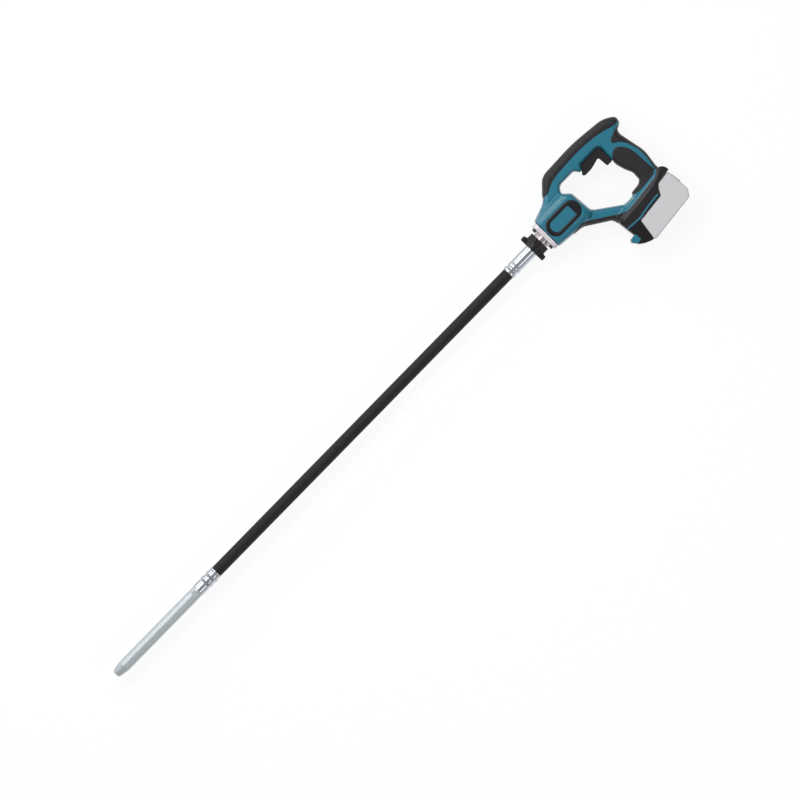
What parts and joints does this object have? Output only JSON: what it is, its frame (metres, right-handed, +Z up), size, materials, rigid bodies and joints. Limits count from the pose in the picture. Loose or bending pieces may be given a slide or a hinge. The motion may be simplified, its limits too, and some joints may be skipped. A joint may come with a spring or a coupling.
{
  "type": "cordless concrete vibrator",
  "caption": "Cordless poker concrete vibrator: loop-handled power head with a slide-on battery, winged coupling nut, straight rubber hose and steel vibrating head.",
  "frame": {"origin": "middle of the bounding box's underside, with the tool lying on its right side", "axes": "+X along the shaft from the vibrating head to the power head, +Y towards the top grip, +Z up, out of the plane of the loop handle"},
  "size_m": [1.495, 0.2512, 0.08],
  "materials": {
    "teal_plastic": "fine spark texture, satin",
    "grip_rubber": "matte, finely pebbled",
    "badge_black": "satin black",
    "black_nylon": "satin black",
    "dark_screw": "black oxide",
    "cast_aluminium": "sand cast, light grey",
    "machined_aluminium": "turned",
    "nut_black": "black coated, worn edges",
    "zinc_steel": "bright zinc",
    "hose_rubber": "matte with a fine fabric mark",
    "spring_steel": "bright",
    "head_steel": "ground steel",
    "bearing_steel": "ground",
    "seal_rubber": "matte",
    "dark_steel": "oiled",
    "motor_steel": "grey",
    "magnet": "sintered",
    "copper": "enamelled copper",
    "brass": "bright",
    "carbon": "matte",
    "fan_plastic": "moulded",
    "lead_red": "wire insulation",
    "battery_grey": "light grey, satin",
    "cell_wrap": "shrink wrap",
    "board_green": "solder mask",
    "holder_plastic": "moulded"
  },
  "bodies": {
    "tool": {"housing_left": "teal_plastic", "housing_right": "teal_plastic", "badge_rings": "badge_black", "badge_plates": "teal_plastic", "foot_band": "grip_rubber", "skirt_hook": "teal_plastic", "case_screws": "dark_screw", "front_flange": "cast_aluminium", "flange_screws": "dark_screw", "neck": "machined_aluminium", "front_bearing": "bearing_steel", "bearing_clip": "spring_steel", "upper_ferrule": "zinc_steel", "hose": "hose_rubber", "hose_liner": "spring_steel", "lower_ferrule": "zinc_steel", "head_coupling": "head_steel", "head_tube": "head_steel", "nose_cap": "head_steel", "head_bearings": "bearing_steel", "oil_seal": "seal_rubber", "motor_can": "motor_steel", "magnets": "magnet", "motor_end_cap": "black_nylon", "rear_bearing": "bearing_steel", "brush_holders": "brass", "brushes": "carbon", "brush_springs": "spring_steel", "trigger_pin": "spring_steel", "switch_body": "black_nylon", "battery_leads": "lead_red", "motor_leads": "lead_red", "terminal_block": "black_nylon", "terminal_blades": "brass", "top_grip_rubber": "grip_rubber", "spine_rubber": "grip_rubber", "pistol_grip_rubber": "grip_rubber", "lower_arm_rubber": "grip_rubber"},
    "wing_nut": {"wing_nut": "nut_black"},
    "trigger": {"trigger": "black_nylon", "trigger_spring": "spring_steel"},
    "switch_plunger": {"switch_plunger": "black_nylon"},
    "drive_line": {"flexible_core": "dark_steel", "core_sleeves": "zinc_steel", "eccentric_rotor": "dark_steel", "armature_shaft": "dark_steel", "drive_socket": "dark_steel", "cooling_fan": "fan_plastic", "armature_core": "dark_steel", "windings": "copper", "commutator": "copper"},
    "battery": {"battery_upper_case": "battery_grey", "battery_lower_case": "battery_grey", "battery_screws": "dark_screw", "battery_cells": "cell_wrap", "cell_holder": "holder_plastic", "battery_board": "board_green", "battery_contacts": "brass"},
    "release_button": {"release_button": "battery_grey", "latch_spring": "spring_steel"}
  },
  "joints": [
    {"name": "drive_spin", "type": "hinge", "parent": "tool", "child": "drive_line", "pos_m": [0.48348, 0.0363, 0.04], "axis": [1, 0, 0], "continuous": true},
    {"name": "nut_turn", "type": "hinge", "parent": "tool", "child": "wing_nut", "pos_m": [0.45348, 0.0363, 0.04], "axis": [1, 0, 0], "continuous": true},
    {"name": "trigger_pull", "type": "hinge", "parent": "tool", "child": "trigger", "pos_m": [0.62448, 0.0973, 0.04], "axis": [0, 0, 1], "range_deg": [0, 7], "stiffness_Nm_per_rad": 2, "springref_deg": -5.73},
    {"name": "plunger_press", "type": "slide", "parent": "tool", "child": "switch_plunger", "axis": [1, 0, 0], "range_m": [0, 0.0048]},
    {"name": "battery_slide", "type": "slide", "parent": "tool", "child": "battery", "axis": [0.9945, 0.1045, 0], "range_m": [0, 0.12]},
    {"name": "release_press", "type": "slide", "parent": "battery", "child": "release_button", "axis": [0.1045, -0.9945, 0], "range_m": [0, 0.004], "stiffness_N_per_m": 800, "springref_m": -0.002}
  ],
  "couplings": [
    {"joint": "plunger_press", "follows": "trigger_pull", "m_per_rad": 0.03928}
  ]
}
